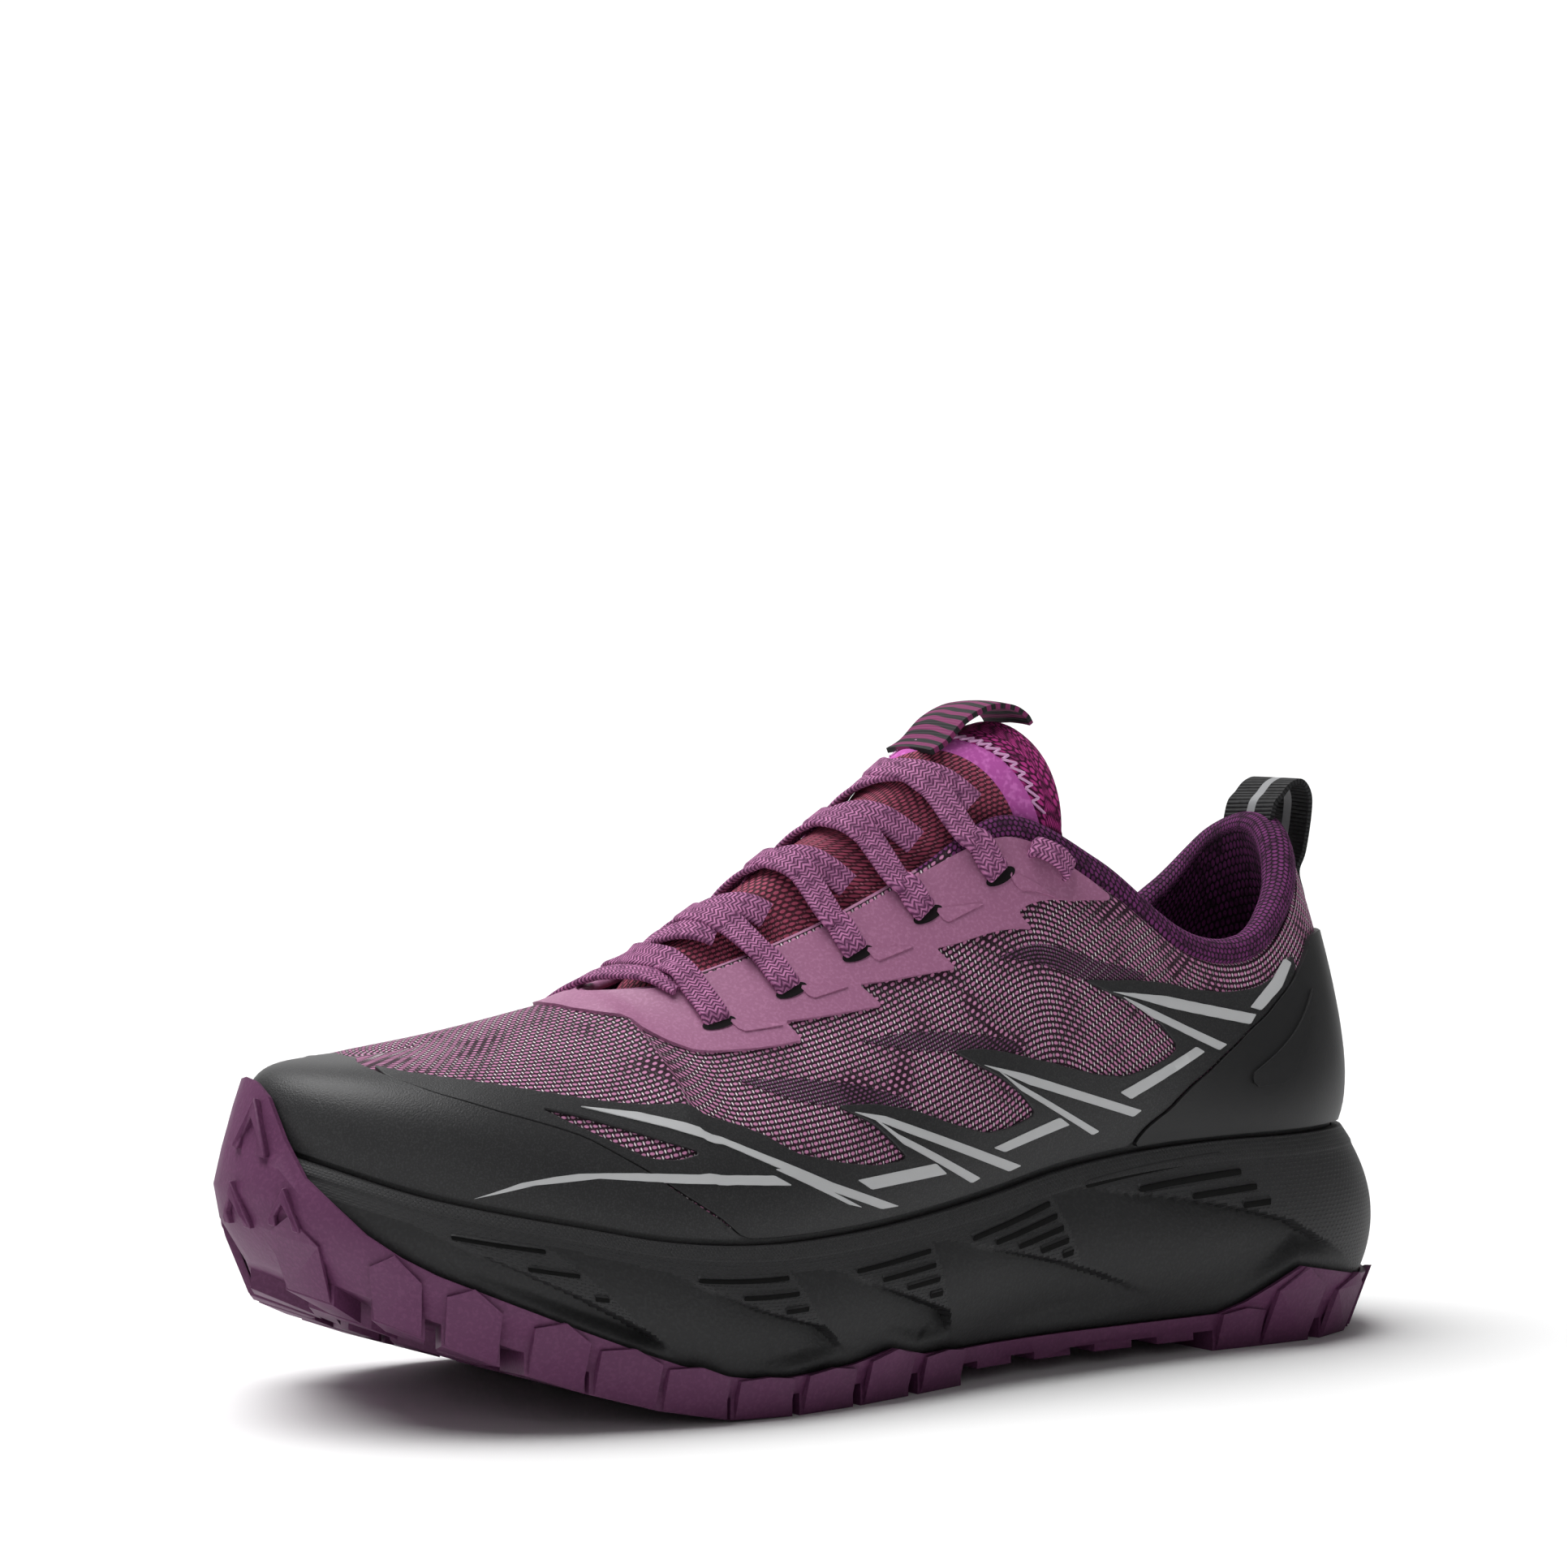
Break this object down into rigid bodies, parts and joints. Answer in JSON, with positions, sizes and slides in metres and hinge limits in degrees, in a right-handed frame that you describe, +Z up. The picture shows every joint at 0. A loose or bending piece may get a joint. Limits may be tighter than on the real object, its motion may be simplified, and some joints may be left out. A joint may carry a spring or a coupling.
{
  "type": "trail running shoe",
  "caption": "Low trail running shoe for the left foot, lugged sole, fins along the midsole's side, padded collar, laced tongue and pull loops.",
  "frame": {"origin": "centre of the box around the shoe, at the floor it stands on", "axes": "+X from the heel to the toe, +Y to the outer side of the foot, +Z up"},
  "size_m": [0.2884, 0.1112, 0.1425],
  "materials": {
    "outsole_rubber": "matt moulded rubber",
    "midsole_foam": "matt moulded foam",
    "insole_foam": "brushed fabric on foam",
    "woven_mesh": "open woven mesh",
    "tongue_mesh": "open knitted mesh",
    "moulded_film": "matt moulded film",
    "matt_film": "matt film with a fine grain",
    "ripstop_film": "coated ripstop cloth",
    "flat_lace": "flat woven lace",
    "webbing": "ribbed webbing"
  },
  "bodies": {
    "root": {"outsole": "outsole_rubber", "midsole": "midsole_foam", "insole": "insole_foam", "upper": "woven_mesh", "heel_counter": "moulded_film", "toe_cap": "matt_film", "side_overlay_outer": "matt_film", "side_overlay_inner": "matt_film", "eyestay": "ripstop_film", "tongue": "tongue_mesh", "lace": "flat_lace", "lace_top_outer": "flat_lace", "lace_top_inner": "flat_lace", "heel_loop": "webbing", "tongue_loop": "webbing"}
  },
  "joints": []
}
